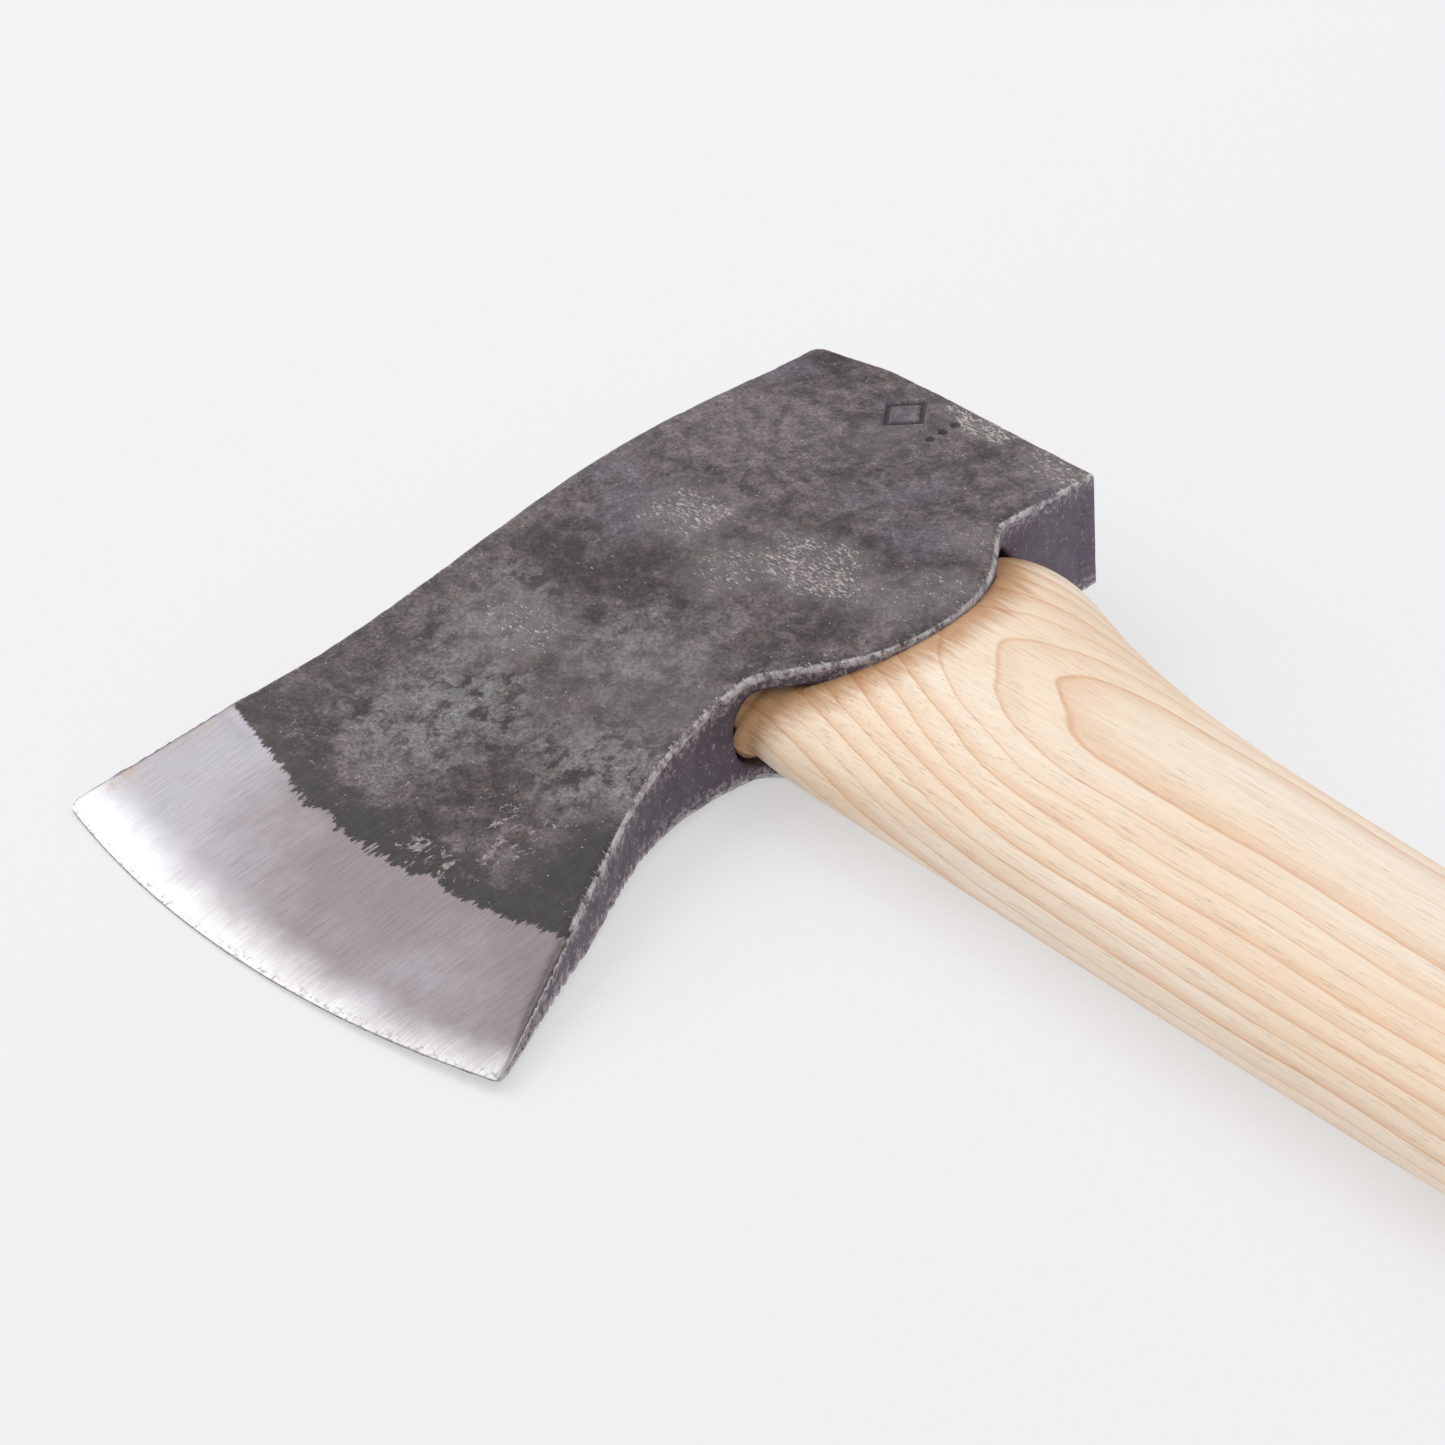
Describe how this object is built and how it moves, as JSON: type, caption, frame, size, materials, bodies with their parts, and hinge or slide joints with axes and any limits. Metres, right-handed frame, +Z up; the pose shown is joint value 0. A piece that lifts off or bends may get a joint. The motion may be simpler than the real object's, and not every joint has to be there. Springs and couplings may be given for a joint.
{
  "type": "carving hatchet",
  "caption": "Hand-forged carving hatchet lying on its side: bearded steel head with eye ears and a polished bevel, wedged on a curved hardwood handle.",
  "frame": {"origin": "on the table under the middle of the hatchet's bounding box, as it lies on its side", "axes": "+Z up from the table, +X along the handle away from the head, +Y from the cutting edge towards the poll"},
  "size_m": [0.3722, 0.1516, 0.0286],
  "materials": {
    "forged_steel": "dark forge scale with a ground and polished bevel",
    "handle_wood": "pale oiled hardwood, lightly sanded",
    "wedge_wood": "darker hardwood, sawn flush",
    "wedge_steel": "plain steel, hammered in"
  },
  "bodies": {
    "root": {"axe_head": "forged_steel", "handle": "handle_wood", "wood_wedge": "wedge_wood", "steel_wedge": "wedge_steel"}
  },
  "joints": []
}
